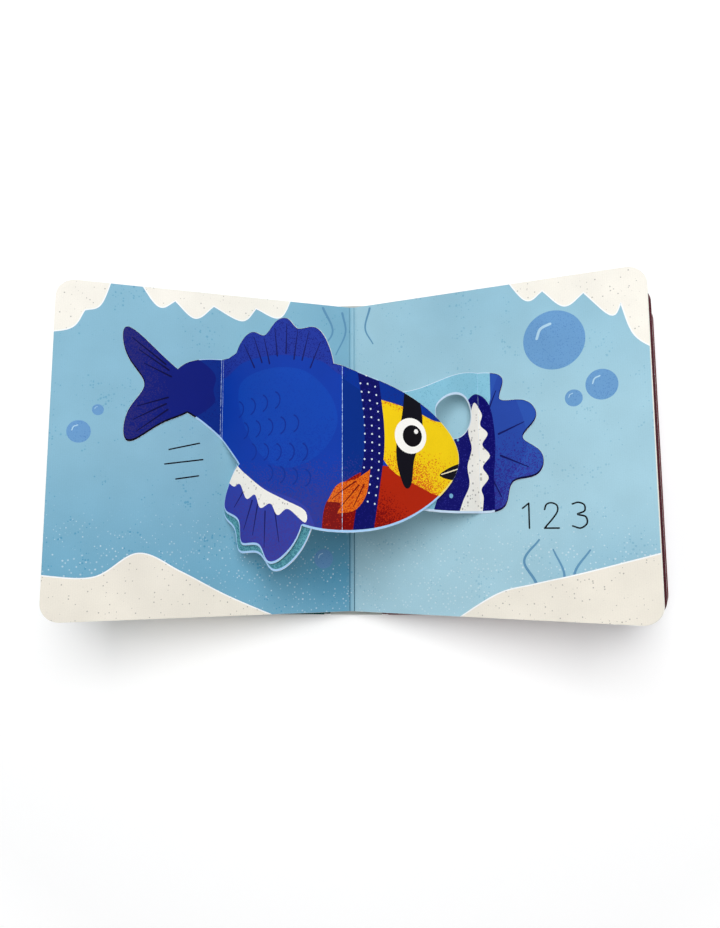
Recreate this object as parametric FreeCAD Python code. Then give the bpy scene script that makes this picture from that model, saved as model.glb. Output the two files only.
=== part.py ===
"""A board pop-up book lying open on a flat surface, with a folded card fish standing over the open spread.

Frame: millimetres, +Z up. The origin is on the surface the book lies on, under the middle of the spine.
+X runs across the spine towards the back cover, and +Y runs along the gutter towards the head of the book.
Every fold of the book and of its cards is parallel to Y, so each card is drawn as a folded section in XZ
and cut to its outline panel by panel. Outlines are drawn flat: u across the fold lines, v along them.
"""

import FreeCAD
import Part
import math
import os

V = FreeCAD.Vector

# ---- page block ----
page_height = 180.0
page_width = 163.2
page_corner_radius = 10.0
sheet_thickness = 0.8
gutter_band = 2.6
spread_count = 6
open_spread = 3
page_tilt = 21.0
leaf_clearance = 0.1
score_width = 0.5
score_depth = 0.25

# ---- case ----
board_thickness = 2.4
cover_square = 2.3
joint_gap = 3.4
board_edge_radius = 0.5
hinge_clearance = 0.6
closing_gap = 0.15

# ---- folded cards ----
card_thickness = 0.4
glue_line = 0.05
glue_fold = 74.8
figure_panel = 83.0
head_lift = 3.0
tail_length = 58.0
head_length = 72.0
frond_length = 60.0
ridge_tab = 12.0
under_card_inset = 1.6
under_card_reach = 66.0
page_tab = 14.0
folded_panel = 82.0
folded_half_height = 44.0
folded_ridge_half_height = 30.0
ridge_bulge = 1.6
tab_taper = 6.0

# ---- worked out from the sizes above ----
leaf_thickness = 2.0 * sheet_thickness
pitch = gutter_band + leaf_thickness
strip_half = (spread_count * pitch - leaf_thickness) / 2.0
spine_half = (spread_count * pitch + 2.0 * board_thickness) / 2.0
hinge_x = spine_half + joint_gap / 2.0
pastedown_top = board_thickness + glue_line + sheet_thickness
block_floor = board_thickness + glue_line
cover_half_height = page_height / 2.0 + cover_square
LEFT = -1.0
RIGHT = 1.0


def band_x(spread):
    """Middle of a spread's gutter band."""
    return (spread - (spread_count + 1) / 2.0) * pitch


def leaf_side(leaf):
    """Side that a leaf lies on: leaf k joins spread k to spread k + 1."""
    return LEFT if leaf < open_spread else RIGHT


def leaf_tilt(leaf):
    """Tilt of a leaf above level, in degrees, shared out evenly from the cover up to the open page."""
    if leaf < open_spread:
        return page_tilt * (leaf - 1) / (open_spread - 2)
    return page_tilt * (spread_count - 1 - leaf) / (spread_count - 1 - open_spread)


def crease_x(leaf):
    """X of the crease of a leaf's upper face."""
    return band_x(leaf) + pitch / 2.0 - leaf_side(leaf) * leaf_thickness / 2.0


def stack_heights(leaves):
    """Crease heights of the leaves of one side, from the one on the cover upwards."""
    heights = {}
    height = pastedown_top + closing_gap + leaf_thickness
    for leaf in leaves:
        angle = math.radians(leaf_tilt(leaf))
        if heights:
            rise = leaf_clearance + leaf_thickness / math.cos(angle) - pitch * math.tan(angle)
            height = height + rise
        heights[leaf] = height
    return heights


left_leaves = list(range(1, open_spread))
right_leaves = list(range(spread_count - 1, open_spread - 1, -1))
crease_height = {}
crease_height.update(stack_heights(left_leaves))
crease_height.update(stack_heights(right_leaves))
open_height = max(crease_height[left_leaves[-1]], crease_height[right_leaves[-1]])
crease_height[left_leaves[-1]] = open_height
crease_height[right_leaves[-1]] = open_height
gutter_x = band_x(open_spread)


def leaf_direction(leaf):
    """Unit vector in XZ along a leaf, away from the gutter."""
    angle = math.radians(leaf_tilt(leaf))
    return (leaf_side(leaf) * math.cos(angle), math.sin(angle))


def on_leaf(leaf, distance, height, below=False):
    """Point in XZ on a leaf's upper face, or its lower face, lifted off it by height."""
    dx, dz = leaf_direction(leaf)
    side = leaf_side(leaf)
    nx, nz = -side * dz, side * dx
    lift = -(leaf_thickness + height) if below else height
    x = crease_x(leaf) + distance * dx + lift * nx
    z = crease_height[leaf] + distance * dz + lift * nz
    return (x, z)


# ---- drawing helpers ----
def section(points, half_length):
    """Solid of a closed XZ polygon, drawn out along Y to both sides of the middle."""
    corners = [V(x, -half_length, z) for x, z in points]
    wire = Part.makePolygon(corners + [corners[0]])
    return Part.Face(wire).extrude(V(0, 2.0 * half_length, 0))


def plate(x_low, x_high, half_length, z_low, z_high):
    """Flat rectangular board."""
    size_x = x_high - x_low
    return Part.makeBox(size_x, 2.0 * half_length, z_high - z_low, V(x_low, -half_length, z_low))


def corner_edges(solid, x_target, y_target):
    """Short edges of a plate that stand at its fore-edge corners."""
    found = []
    for edge in solid.Edges:
        near = [
            abs(v.X - x_target) < leaf_thickness and abs(abs(v.Y) - y_target) < 1e-6
            for v in edge.Vertexes
        ]
        if len(near) == 2 and all(near) and edge.Length < 2.0 * board_thickness:
            if abs(edge.Vertexes[0].Y - edge.Vertexes[1].Y) < 1e-6:
                found.append(edge)
    return found


def offset_pairs(points, thickness):
    """Upper and lower points of a folded strip of card about its middle line, mitred at each crease."""
    pairs = []
    for i, (x, z) in enumerate(points):
        before = points[max(i - 1, 0)]
        after = points[min(i + 1, len(points) - 1)]
        first = unit(before, (x, z)) if i > 0 else unit((x, z), after)
        second = unit((x, z), after) if i < len(points) - 1 else first
        nx = -first[1] - second[1]
        nz = first[0] + second[0]
        length = math.hypot(nx, nz)
        half = length / 2.0
        reach = min(thickness / 2.0 / half, 2.0 * thickness)
        nx, nz = nx / length * reach, nz / length * reach
        pairs.append(((x + nx, z + nz), (x - nx, z - nz)))
    return pairs


def unit(a, b):
    """Unit vector in XZ from a to b."""
    length = math.hypot(b[0] - a[0], b[1] - a[1])
    return ((b[0] - a[0]) / length, (b[1] - a[1]) / length)


def meeting_point(a, b, radius, side=1.0):
    """Point at one distance from a and from b, on the left of the line from a to b when side is positive."""
    half = math.hypot(b[0] - a[0], b[1] - a[1]) / 2.0
    ex, ez = unit(a, b)
    rise = side * math.sqrt(radius**2 - half**2)
    middle = ((a[0] + b[0]) / 2.0, (a[1] + b[1]) / 2.0)
    return (middle[0] - ez * rise, middle[1] + ex * rise)


def anticlockwise(points):
    """The same closed outline, run so that its face looks up."""
    doubled_area = sum(a[0] * b[1] - b[0] * a[1] for a, b in zip(points, points[1:] + points[:1]))
    return points if doubled_area > 0 else points[::-1]


def smooth_face(points):
    """Flat face inside a smooth closed curve through the points."""
    curve = Part.BSplineCurve()
    curve.interpolate([V(u, v, 0) for u, v in anticlockwise(points)], PeriodicFlag=True)
    return Part.Face(Part.Wire([curve.toShape()]))


def straight_face(points):
    """Flat face inside a closed polygon."""
    corners = [V(u, v, 0) for u, v in anticlockwise(points)]
    return Part.Face(Part.makePolygon(corners + [corners[0]]))


def blank_card(faces):
    """Thick flat blank made of overlapping outlines, for a folded card to be cut from."""
    half = 3.0 * card_thickness
    prisms = []
    for face in faces:
        low = face.copy()
        low.translate(V(0, 0, -half))
        prisms.append(low.extrude(V(0, 0, 2.0 * half)))
    if len(prisms) == 1:
        return prisms[0]
    return prisms[0].multiFuse(prisms[1:]).removeSplitter()


def folded_card(blank, creases, start, end, thickness):
    """Card cut from a flat blank and folded. creases lists (u, (x, z)) for every fold, and start and end
    give (u, (x, z)) of a point beyond each end of the blank. All points are on the card's middle line."""
    stations = [start] + creases + [end]
    pairs = offset_pairs([point for _, point in stations], thickness)
    card = None
    for i in range(len(stations) - 1):
        u0, here = stations[i]
        there = stations[i + 1][1]
        ex, ez = unit(here, there)
        turn = FreeCAD.Matrix(
            *(ex, 0.0, -ez, here[0] - u0 * ex),
            *(0.0, 1.0, 0.0, 0.0),
            *(ez, 0.0, ex, here[1] - u0 * ez),
            *(0.0, 0.0, 0.0, 1.0),
        )
        prism = blank.copy()
        prism.Placement = FreeCAD.Placement(turn)
        quad = [pairs[i][0], pairs[i + 1][0], pairs[i + 1][1], pairs[i][1]]
        panel = prism.common(section(quad, page_height))
        card = panel if card is None else card.fuse(panel)
    return card.removeSplitter()


# ---- page block ----
def leaf_solid(leaf):
    """Two sheets glued back to back, standing on the spine and bent over to their side."""
    side = leaf_side(leaf)
    near = crease_x(leaf)
    far = near + side * leaf_thickness
    tip_top = on_leaf(leaf, page_width, 0.0)
    tip_low = on_leaf(leaf, page_width, 0.0, below=True)
    angle = math.radians(leaf_tilt(leaf))
    bend = crease_height[leaf] - leaf_thickness * (1.0 / math.cos(angle) - math.tan(angle))
    points = [
        (near, block_floor),
        (near, crease_height[leaf]),
        tip_top,
        tip_low,
        (far, bend),
        (far, block_floor),
    ]
    solid = section(points, page_height / 2.0)
    corners = corner_edges(solid, (tip_top[0] + tip_low[0]) / 2.0, page_height / 2.0)
    return solid.makeFillet(page_corner_radius, corners)


def page_block():
    """All leaves and gutter bands as one folded and glued block, with the open spread's two scores."""
    solids = [leaf_solid(leaf) for leaf in left_leaves + right_leaves]
    for spread in range(1, spread_count + 1):
        low = block_floor
        if spread == open_spread:
            low = open_height - sheet_thickness
        middle = band_x(spread)
        half = gutter_band / 2.0
        solids.append(plate(middle - half, middle + half, page_height / 2.0, low, low + sheet_thickness))
    block = solids[0].multiFuse(solids[1:]).removeSplitter()
    for side in (LEFT, RIGHT):
        x = gutter_x + side * gutter_band / 2.0
        groove = [
            (x - score_width / 2.0, open_height + score_depth),
            (x + score_width / 2.0, open_height + score_depth),
            (x, open_height - score_depth),
        ]
        block = block.cut(section(groove, page_height))
    return block


# ---- case ----
def softened(solid, radius):
    """Board with every edge rounded by the paper wrapped round it."""
    return solid.makeFillet(radius, solid.Edges)


def cover_board(side):
    """Cover board in its wrap, from the joint to the fore edge."""
    inner = spine_half + joint_gap
    outer = strip_half + page_width + cover_square
    low, high = sorted((side * inner, side * outer))
    board = plate(low, high, cover_half_height, 0.0, board_thickness)
    corners = corner_edges(board, side * outer, cover_half_height)
    board = board.makeFillet(page_corner_radius + cover_square, corners)
    return softened(board, board_edge_radius)


def spine_board():
    """Spine board in its wrap."""
    board = plate(-spine_half, spine_half, cover_half_height, 0.0, board_thickness)
    return softened(board, board_edge_radius)


def pastedown(side):
    """Outer half of an endpaper spread, glued to the inside of its cover."""
    inner = hinge_x + hinge_clearance
    outer = strip_half + page_width
    low, high = sorted((side * inner, side * outer))
    sheet = plate(low, high, page_height / 2.0, block_floor, pastedown_top)
    corners = corner_edges(sheet, side * outer, page_height / 2.0)
    return sheet.makeFillet(page_corner_radius, corners)


# ---- fish, standing over the open spread ----
left_leaf = left_leaves[-1]
right_leaf = right_leaves[-1]
card_lift = glue_line + card_thickness / 2.0
left_fold = on_leaf(left_leaf, glue_fold, card_lift)
right_fold = on_leaf(right_leaf, glue_fold, card_lift)
ridge = meeting_point(left_fold, right_fold, figure_panel)


def moved(point, direction, distance):
    """Point carried along a direction."""
    return (point[0] + distance * direction[0], point[1] + distance * direction[1])


def turned(direction, degrees):
    """Direction turned anticlockwise in XZ."""
    angle = math.radians(degrees)
    c, s = math.cos(angle), math.sin(angle)
    return (direction[0] * c - direction[1] * s, direction[0] * s + direction[1] * c)


def fish_blank():
    """Body from tail root to snout, forked tail, back fin and belly fin. u = 0 is the fold on the left page."""
    body = smooth_face(
        [
            (-26, 43),
            (0, 52),
            (40, 51),
            (83, 37),
            (124, 23),
            (150, -7),
            (126, -35),
            (83, -45),
            (44, -36),
            (10, -4),
            (-26, 24),
        ]
    )
    tail = smooth_face(
        [(-14, 40), (-34, 53), (-53, 66), (-51, 50), (-42, 35), (-50, 20), (-50, 4), (-32, 14), (-14, 28)]
    )
    back_fin = smooth_face(
        [(8, 46), (14, 60), (24, 64), (31, 61), (39, 67), (48, 67), (54, 61), (64, 60), (74, 50), (78, 34), (42, 38)]
    )
    belly_fin = smooth_face(
        [(16, -6), (6, -20), (5, -34), (14, -39), (17, -51), (29, -52), (35, -60), (48, -56), (58, -36), (40, -20)]
    )
    return blank_card([body, tail, back_fin, belly_fin])


def fish_card():
    """Front card: tail glued on the left page, body rising to the ridge, head leaning out past it."""
    start = moved(left_fold, leaf_direction(left_leaf), tail_length)
    head_direction = turned(unit(ridge, right_fold), head_lift)
    end = moved(ridge, head_direction, head_length)
    return folded_card(
        fish_blank(),
        [(0.0, left_fold), (figure_panel, ridge)],
        (-tail_length, start),
        (figure_panel + head_length, end),
        card_thickness,
    )


def reef_blank(panel):
    """Hidden tab, strut under the head with a window cut in it, and fronds on the right page.
    u = 0 is the ridge and u = panel is the fold on the right page."""
    tab = straight_face([(-ridge_tab, -22), (4, -24), (4, 12), (-ridge_tab, 10)])
    strut = smooth_face(
        [
            (-5, 17),
            (34, 27),
            (panel - 14, 40),
            (panel + 2, 42),
            (panel + 14, 37),
            (panel + 12, 27),
            (panel + 25, 25),
            (panel + 31, 15),
            (panel + 24, 5),
            (panel + 33, -3),
            (panel + 31, -15),
            (panel + 18, -19),
            (panel + 14, -31),
            (panel, -35),
            (48, -34),
            (-5, -29),
        ]
    )
    window = smooth_face([(panel - 25, 24), (panel - 10, 28), (panel - 5, 18), (panel - 12, 6), (panel - 26, 12)])
    return blank_card([tab, strut.cut(window)])


def reef_card():
    """Card under the head: its tab is glued inside the body, and it carries the fish from the right page."""
    body_direction = unit(left_fold, ridge)
    drop = card_thickness + glue_line
    slope = math.hypot(1.0, body_direction[1] / body_direction[0])
    crest = (ridge[0], ridge[1] - drop * slope)
    panel = math.hypot(crest[0] - right_fold[0], crest[1] - right_fold[1])
    start = moved(crest, body_direction, -2.0 * ridge_tab)
    end = moved(right_fold, leaf_direction(right_leaf), frond_length)
    return folded_card(
        reef_blank(panel),
        [(0.0, crest), (panel, right_fold)],
        (-2.0 * ridge_tab, start),
        (panel + frond_length, end),
        card_thickness,
    )


def under_blank():
    """Tab on the page and a lobed panel. u = 0 is its own fold on the left page."""
    tab = straight_face([(-page_tab, 15), (4, 13), (4, 37), (-page_tab, 35)])
    panel = smooth_face(
        [
            (-4, 9),
            (-4, 41),
            (30, 42),
            (58, 20),
            (under_card_reach, -20),
            (52, -58),
            (36, -64),
            (27, -56),
            (13, -55),
            (9, -43),
            (3, -38),
            (4, -20),
            (10, -8),
        ]
    )
    return blank_card([tab, panel])


def under_card():
    """Backing card close under the body, folded on the left page just inside the body's own fold."""
    own_fold = on_leaf(left_leaf, glue_fold - under_card_inset, card_lift)
    inward = leaf_direction(left_leaf)
    body_direction = unit(left_fold, ridge)
    start = moved(own_fold, inward, -2.0 * page_tab)
    last = 1.2 * under_card_reach
    end = moved(own_fold, body_direction, last)
    return folded_card(
        under_blank(),
        [(0.0, own_fold)],
        (-2.0 * page_tab, start),
        (last, end),
        card_thickness,
    )


# ---- folded pop-ups inside the closed spreads ----
def spread_corner(lower, upper):
    """Point in XZ where the facing sides of two leaves would meet at the gutter."""
    ax, az = on_leaf(lower, 0.0, 0.0)
    bx, bz = on_leaf(upper, 0.0, 0.0, below=True)
    px, pz = leaf_direction(lower)
    qx, qz = leaf_direction(upper)
    distance = ((bx - ax) * qz - (bz - az) * qx) / (px * qz - pz * qx)
    return (ax + distance * px, az + distance * pz)


def folded_popup(spread):
    """Plain ridge of card, folded nearly flat between the two leaves of a closed spread."""
    lower, upper = spread - 1, spread
    if leaf_side(lower) == RIGHT:
        lower, upper = upper, lower
    side = leaf_side(lower)
    corner = spread_corner(lower, upper)
    low_way = leaf_direction(lower)
    high_way = leaf_direction(upper)
    low_lift = turned(low_way, 90.0 * side)
    high_lift = turned(high_way, -90.0 * side)
    low_fold = moved(moved(corner, low_way, glue_fold), low_lift, card_lift)
    high_fold = moved(moved(corner, high_way, glue_fold), high_lift, card_lift)
    crest = meeting_point(low_fold, high_fold, folded_panel, -side)
    across = unit(low_fold, high_fold)
    low_crest = moved(crest, across, -ridge_bulge / 2.0)
    high_crest = moved(crest, across, ridge_bulge / 2.0)
    low_start = moved(low_fold, low_way, -page_tab)
    high_end = moved(high_fold, high_way, -page_tab)
    panel = math.hypot(low_crest[0] - low_fold[0], low_crest[1] - low_fold[1])
    last = 2.0 * panel + ridge_bulge
    wide = folded_half_height
    narrow = folded_ridge_half_height
    tab = 0.95 * page_tab
    half_outline = [
        (-tab, wide - tab_taper),
        (0.0, wide),
        (panel, narrow),
        (panel + ridge_bulge, narrow),
        (last, wide),
        (last + tab, wide - tab_taper),
    ]
    blank = blank_card([straight_face(half_outline + [(u, -v) for u, v in reversed(half_outline)])])
    return folded_card(
        blank,
        [(0.0, low_fold), (panel, low_crest), (panel + ridge_bulge, high_crest), (last, high_fold)],
        (-page_tab, low_start),
        (last + page_tab, high_end),
        card_thickness,
    )


def main():
    parts = {
        "page_block": page_block(),
        "spine_board": spine_board(),
        "front_cover_board": cover_board(LEFT),
        "back_cover_board": cover_board(RIGHT),
        "front_pastedown": pastedown(LEFT),
        "back_pastedown": pastedown(RIGHT),
        "fish_card": fish_card(),
        "reef_card": reef_card(),
        "under_card": under_card(),
    }
    for spread in range(2, spread_count):
        if spread != open_spread:
            parts["folded_popup_%d" % spread] = folded_popup(spread)
    os.makedirs("parts", exist_ok=True)
    for name, shape in parts.items():
        shape.exportStep("parts/%s.step" % name)
        solids = len(shape.Solids)
        print("%-20s solids %d  volume %.0f mm3  valid %s" % (name, solids, shape.Volume, shape.isValid()))
    print("hinge x %.2f, open spread at x %.2f, z %.2f" % (hinge_x, gutter_x, open_height))
    print("ridge", ridge, "left fold", left_fold, "right fold", right_fold)


main()
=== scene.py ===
import math
import bpy
import numpy as np
from mathutils import Matrix, Vector
from mathutils.geometry import delaunay_2d_cdt


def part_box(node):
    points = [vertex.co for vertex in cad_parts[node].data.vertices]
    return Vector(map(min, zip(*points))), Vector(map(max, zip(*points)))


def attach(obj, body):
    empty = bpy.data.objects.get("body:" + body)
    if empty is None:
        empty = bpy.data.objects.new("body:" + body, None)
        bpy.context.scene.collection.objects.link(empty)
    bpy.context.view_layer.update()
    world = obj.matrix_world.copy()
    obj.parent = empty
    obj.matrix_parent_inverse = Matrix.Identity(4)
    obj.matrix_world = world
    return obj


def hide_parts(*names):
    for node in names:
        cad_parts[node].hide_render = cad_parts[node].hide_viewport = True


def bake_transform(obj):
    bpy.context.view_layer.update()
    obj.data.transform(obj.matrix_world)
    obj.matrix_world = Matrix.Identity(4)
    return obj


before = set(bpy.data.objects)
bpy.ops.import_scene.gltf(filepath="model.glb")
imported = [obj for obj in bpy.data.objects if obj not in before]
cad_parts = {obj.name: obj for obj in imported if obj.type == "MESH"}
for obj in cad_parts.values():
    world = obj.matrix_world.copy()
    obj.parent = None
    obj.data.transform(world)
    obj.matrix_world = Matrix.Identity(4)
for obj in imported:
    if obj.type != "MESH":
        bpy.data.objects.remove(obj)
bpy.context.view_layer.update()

# ---- Case: spine board and cover boards ----
# Three grey boards cased in one paper wrap, printed flat and laminated matt: dark teal round the front cover,
# pale grey over the spine, maroon round the back cover. It is turned in over the boards, so edges are soft.
MM = 0.001
front_wrap_colour = (14, 74, 72)
spine_wrap_colour = (176, 182, 178)
back_wrap_colour = (100, 32, 44)
paper_core_colour = (232, 229, 221)
paper_specular = 0.12
relief = 0.1
rubbed_edge_radius = 0.6


def ink(red, green, blue):
    """Printed colour, each part from 0 to 255, as the shader takes it."""
    shares = [part / 255 for part in (red, green, blue)]
    return tuple(s / 12.92 if s < 0.0405 else ((s + 0.055) / 1.055) ** 2.4 for s in shares)


def new_finish(name, roughness, coat=0.0, coat_roughness=0.25):
    """Material with a paper's shine, and its node tree and shader."""
    material = bpy.data.materials.new(name)
    material.use_nodes = True
    shader = material.node_tree.nodes["Principled BSDF"]
    shader.inputs["Roughness"].default_value = roughness
    shader.inputs["Coat Weight"].default_value = coat
    shader.inputs["Coat Roughness"].default_value = coat_roughness
    shader.inputs["Specular IOR Level"].default_value = paper_specular
    return material, material.node_tree, shader


def add(tree, kind, inputs=None, output=0, **settings):
    """Puts a node in a tree, with its settings and inputs, and gives one of its outputs."""
    made = tree.nodes.new("ShaderNode" + kind)
    for key, value in settings.items():
        setattr(made, key, value)
    for key, value in (inputs or {}).items():
        if isinstance(value, bpy.types.NodeSocket):
            tree.links.new(value, made.inputs[key])
        else:
            made.inputs[key].default_value = value
    return made.outputs[output]


def maths(tree, operation, a, b):
    return add(tree, "Math", {0: a, 1: b}, operation=operation)


def ramp(tree, value, low, high, out_low=0.0, out_high=1.0):
    """Value carried from one range to another and held at its ends."""
    return add(tree, "MapRange", {0: value, 1: low, 2: high, 3: out_low, 4: out_high})


def mixed(tree, share, a, b):
    """Two colours mixed by a share from 0 to 1."""
    a = (*a, 1.0) if isinstance(a, tuple) else a
    b = (*b, 1.0) if isinstance(b, tuple) else b
    return add(tree, "Mix", {0: share, 6: a, 7: b}, output=2, data_type="RGBA")


def mottled(tree, share, colour, darkest):
    """A colour, taken down to a part of itself where the share is low."""
    return mixed(tree, share, tuple(darkest * c for c in ink(*colour)), ink(*colour))


def in_millimetres(tree):
    """The piece's own coordinates, in millimetres."""
    where = add(tree, "TexCoord", output="Object")
    return add(tree, "VectorMath", {0: where, "Scale": 1000.0}, operation="SCALE")


def noise(tree, where, scale, detail):
    return add(tree, "TexNoise", {"Vector": where, "Scale": scale, "Detail": detail})


def patches(tree, where, scale, detail, low=0.0, high=1.0, spread=0.2):
    """Soft patches that run from a low to a high value, over the spread of the noise about its middle."""
    return ramp(tree, noise(tree, where, scale, detail), 0.5 - spread, 0.5 + spread, low, high)


def bumped(tree, shader, height, strength):
    inputs = {"Strength": strength, "Distance": relief * MM, "Height": height}
    tree.links.new(add(tree, "Bump", inputs, output="Normal"), shader.inputs["Normal"])


def paper_face(tree, shader, colour, fibre, roughness, strength, height=None):
    """Gives the shader its colour, a shine that varies with the fibres, and their relief."""
    tree.links.new(colour, shader.inputs["Base Color"])
    shine = ramp(tree, fibre, 0.2, 0.8, roughness - 0.06, roughness + 0.08)
    tree.links.new(shine, shader.inputs["Roughness"])
    bumped(tree, shader, fibre if height is None else height, strength)


def wrap_paper(name, colour):
    """Laminated wrap: even print, a faint web from the board below, bare fibres where edges have rubbed."""
    roughness = 0.42
    material, tree, shader = new_finish(name, roughness, coat=0.25, coat_roughness=0.35)
    where = in_millimetres(tree)
    print_colour = mottled(tree, patches(tree, where, scale=0.03, detail=4.0), colour, darkest=0.86)
    fibre = noise(tree, where, scale=1.4, detail=3.0)
    soft = add(tree, "Bevel", {"Radius": rubbed_edge_radius * MM}, samples=6)
    true = add(tree, "NewGeometry", output="True Normal")
    facing = add(tree, "VectorMath", {0: soft, 1: true}, output="Value", operation="DOT_PRODUCT")
    edge = maths(tree, "MULTIPLY", maths(tree, "SUBTRACT", 1.0, facing), 3.0)
    worn = ramp(tree, maths(tree, "MULTIPLY", edge, fibre), 0.24, 0.4, 0.0, 0.55)
    rubbed = mixed(tree, worn, print_colour, ink(*paper_core_colour))
    paper_face(tree, shader, rubbed, fibre, roughness, strength=0.12)
    return material


def dress(node, material):
    """Gives a CAD node its finish."""
    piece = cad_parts[node]
    piece.data.materials.clear()
    piece.data.materials.append(material)


front_wrap = wrap_paper("teal_wrap", front_wrap_colour)
spine_wrap = wrap_paper("spine_wrap_paper", spine_wrap_colour)
back_wrap = wrap_paper("maroon_wrap", back_wrap_colour)
dress("front_cover_board", front_wrap)
dress("spine_board", spine_wrap)
dress("back_cover_board", back_wrap)

# ---- Cover joints ----
# Two flexible strips join each cover to the book: the wrap outside, pressed into the groove between the
# boards, and the first or last endpaper inside. Both bend when the cover swings.
spine_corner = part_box("spine_board")[1]
pastedown_low, pastedown_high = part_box("back_pastedown")
spine_half = spine_corner.x / MM
case_half_height = spine_corner.y / MM
cover_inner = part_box("back_cover_board")[0].x / MM
pastedown_inner = pastedown_low.x / MM
pastedown_top = pastedown_high.z / MM
page_half_height = pastedown_high.y / MM
sheet_thickness = (pastedown_high.z - pastedown_low.z) / MM
leaf_thickness = 2 * sheet_thickness
gutter_band = 2.6
pitch = gutter_band + leaf_thickness
spread_count = 6
strip_half = (spread_count * pitch - leaf_thickness) / 2
fold_steps = 6
crease_overrun = 1.0
point_digits = 3
triangle_height = 0.866
edge_rounding = 0.06
sharp_angle = 32
same_crease = 0.01
unworn = 50.0
tiny = 1e-9


def unit(vector):
    return vector / np.linalg.norm(vector)


def right_of(ways):
    """Unit vectors to the right of each way, which is outward where the blank lies on its left."""
    right = np.stack([ways[:, 1], -ways[:, 0]], axis=1)
    return right / np.maximum(np.linalg.norm(right, axis=1), tiny)[:, None]


def fold_line(path, radius=0.0, start=0.0):
    """Stations (distance, place in XZ) along the printed side of a folded sheet. Each fold is eased."""
    path = [np.array(p, float) for p in path]
    stations = [(start, path[0])]
    run = start
    for before, here, after in zip(path, path[1:], path[2:]):
        run += np.linalg.norm(here - before)
        way_in, way_out = unit(here - before), unit(after - here)
        turn = math.acos(max(-1.0, min(1.0, float(way_in @ way_out))))
        reach = radius * math.tan(turn / 2)
        if reach == 0:
            stations.append((run, here))
            continue
        for t in np.linspace(0, 1, fold_steps + 1):
            eased = here + reach * (t**2 * way_out - (1 - t) ** 2 * way_in)
            stations.append((run - reach + 2 * reach * t, eased))
    stations.append((run + np.linalg.norm(path[-1] - path[-2]), path[-1]))
    return stations


def lifts(stations):
    """Mitred lift of the printed side at each station."""
    places = np.array([place for _, place in stations])
    sides = -right_of(np.diff(places, axis=0))
    before, after = np.vstack([sides[:1], sides]), np.vstack([sides, sides[-1:]])
    return (before + after) / (1 + (before * after).sum(axis=1))[:, None]


def folded(flat, stations):
    """Places in the book of flat points (along, across, height over the printed side), in metres."""
    along = np.array([u for u, _ in stations])
    places = np.array([place for _, place in stations])
    lift = lifts(stations)
    i = np.clip(np.searchsorted(along, flat[:, 0], side="right") - 1, 0, len(along) - 2)
    share = ((flat[:, 0] - along[i]) / (along[i + 1] - along[i]))[:, None]
    place = places[i] * (1 - share) + places[i + 1] * share
    raised = place + flat[:, 2:3] * (lift[i] * (1 - share) + lift[i + 1] * share)
    return np.stack([raised[:, 0], flat[:, 1], raised[:, 1]], axis=1) * MM


def inside(loops, points):
    """For each point, whether it lies within the closed loops."""
    found = np.zeros(len(points), bool)
    x, y = points[:, 0], points[:, 1]
    for loop in loops:
        for (x0, y0), (x1, y1) in zip(loop, np.roll(loop, -1, axis=0)):
            if y0 != y1:
                found ^= ((y0 > y) != (y1 > y)) & (x < (x1 - x0) * (y - y0) / (y1 - y0) + x0)
    return found


def divided(loop, step):
    """Loop with its long sides divided."""
    points = []
    for a, b in zip(loop, np.roll(loop, -1, axis=0)):
        pieces = max(1, math.ceil(np.linalg.norm(b - a) / step))
        points += [a + (b - a) * i / pieces for i in range(pieces)]
    return np.array(points)


def blank(loops, shapes, creases, spacing, rings):
    """Flat triangles of a die-cut blank, divided along its ink edges and its creases. spacing is that of the
    points in its open fields, and rings are the depths of the rows of points that follow its outline."""
    points, edges = [], []

    def draw(chain, closed=True):
        first, count = len(points), len(chain)
        points.extend(map(tuple, chain))
        edges.extend((first + i, first + (i + 1) % count) for i in range(count if closed else count - 1))

    for chain in [*loops, *shapes]:
        draw(chain)
    low, high = np.vstack(loops).min(axis=0), np.vstack(loops).max(axis=0)
    for u in creases:
        if low[0] < u < high[0]:
            ends = low[1] - crease_overrun, high[1] + crease_overrun + spacing
            draw([(u, v) for v in np.arange(*ends, spacing)], closed=False)
    columns, rows = np.arange(low[0], high[0], spacing), np.arange(low[1], high[1], spacing * triangle_height)
    across, up = np.meshgrid(columns, rows)
    across[1::2] += spacing / 2
    free = [np.stack([across.ravel(), up.ravel()], axis=1)]
    for loop in loops:
        way = np.roll(loop, -1, axis=0) - np.roll(loop, 1, axis=0)
        free += [loop - right_of(way) * depth for depth in rings]
    free = np.vstack(free)
    points += map(tuple, free[inside(loops, free)])
    made = delaunay_2d_cdt([Vector(p) for p in points], edges, [], 0, 10.0**-point_digits, False)
    flat = np.array([tuple(p) for p in made[0]])
    # Points that round to the same place become one. Triangles that this closes, or that lie outside, go.
    _, kept, twin = np.unique(np.round(flat, point_digits), axis=0, return_index=True, return_inverse=True)
    flat, faces = flat[kept], twin.reshape(-1)[np.array(made[2])]
    faces = faces[(faces != np.roll(faces, 1, axis=1)).all(axis=1)]
    faces = faces[inside(loops, flat[faces].mean(axis=1))]
    used, faces = np.unique(faces, return_inverse=True)
    return flat[used], faces.reshape(-1, 3)


def rim_of(faces):
    """Directed edges that only one triangle uses, as a map from each point to the next."""
    sides = [(int(f[i]), int(f[(i + 1) % 3])) for f in faces for i in range(3)]
    known = set(sides)
    return {a: b for a, b in sides if (b, a) not in known}


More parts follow.
